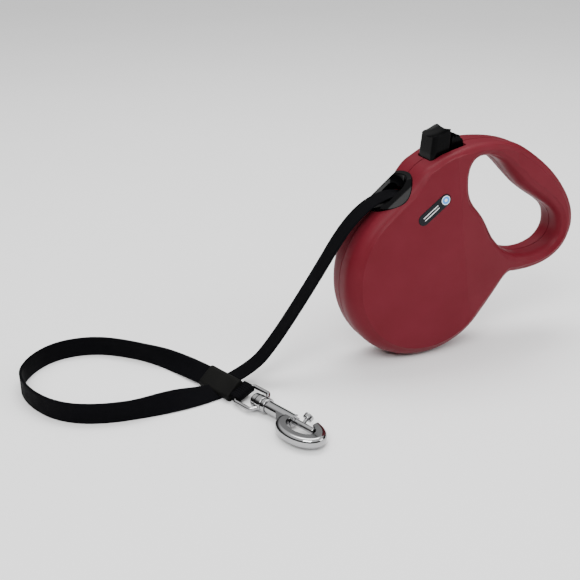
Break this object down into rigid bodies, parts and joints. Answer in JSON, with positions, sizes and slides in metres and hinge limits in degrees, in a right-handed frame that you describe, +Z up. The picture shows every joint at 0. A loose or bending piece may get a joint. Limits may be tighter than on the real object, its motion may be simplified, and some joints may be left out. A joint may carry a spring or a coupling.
{
  "type": "retractable dog leash",
  "caption": "Retractable tape dog leash with loop grip casing, thumb brake and lock, tape lead with hand loop and swivel bolt snap hook.",
  "frame": {"origin": "middle of the grip bar, where the hand holds the leash, on the parting plane of the casing", "axes": "+Z up, +Y across the casing along the drum axis, +X from the drum towards the grip; the lead runs out towards -X"},
  "size_m": [0.3488, 0.1594, 0.1433],
  "materials": {
    "shell": "fine grained maroon",
    "black_gloss": "polished black",
    "black_satin": "satin black",
    "inner_plastic": "satin",
    "tape": "black woven webbing",
    "chrome": "polished plating",
    "steel": "bright",
    "badge_face": "glossy black",
    "emblem_face": "pale blue and white",
    "sleeve": "satin moulded black"
  },
  "bodies": {
    "housing": {"casing_left": "shell", "casing_right": "shell", "nozzle": "black_gloss", "arbor": "inner_plastic", "arbor_screw": "steel", "casing_screws": "steel", "badge": "badge_face", "badge_emblem": "emblem_face", "button_spring": "steel", "tape_lead": "tape", "end_sleeve": "sleeve", "hand_loop": "tape", "eye_fold": "tape"},
    "spool": {"spool_drum": "inner_plastic", "spring_cover": "inner_plastic", "tape_coil": "tape", "power_spring": "steel"},
    "button": {"brake_button": "black_satin"},
    "lock": {"lock_slider": "black_satin"},
    "eye": {"swivel_eye": "chrome"},
    "hook": {"hook_body": "chrome", "bolt_spring": "steel"},
    "bolt": {"hook_bolt": "chrome", "bolt_knob": "chrome"}
  },
  "joints": [
    {"name": "spool_spin", "type": "hinge", "parent": "housing", "child": "spool", "pos_m": [-0.0765, 0, -0.0515], "axis": [0, 1, 0], "continuous": true, "deforming": ["power_spring"]},
    {"name": "button_press", "type": "slide", "parent": "housing", "child": "button", "axis": [0, 0, -1], "range_m": [0, 0.0045], "stiffness_N_per_m": 300, "springref_m": -0.002, "deforming": ["button_spring"]},
    {"name": "lock_slide", "type": "slide", "parent": "housing", "child": "lock", "axis": [-0.9397, 0, -0.3419], "range_m": [0, 0.0022]},
    {"name": "eye_tilt", "type": "hinge", "parent": "housing", "child": "eye", "pos_m": [-0.20017, -0.01683, -0.1019], "axis": [0.9064, 0.3339, 0.2588], "range_deg": [-60, 60]},
    {"name": "hook_swivel", "type": "hinge", "parent": "eye", "child": "hook", "pos_m": [-0.20017, -0.01683, -0.1019], "axis": [0.3457, -0.9383, 0], "continuous": true},
    {"name": "bolt_slide", "type": "slide", "parent": "hook", "child": "bolt", "axis": [-0.3457, 0.9383, 0], "range_m": [0, 0.009], "stiffness_N_per_m": 300, "springref_m": -0.002, "deforming": ["bolt_spring"]}
  ]
}
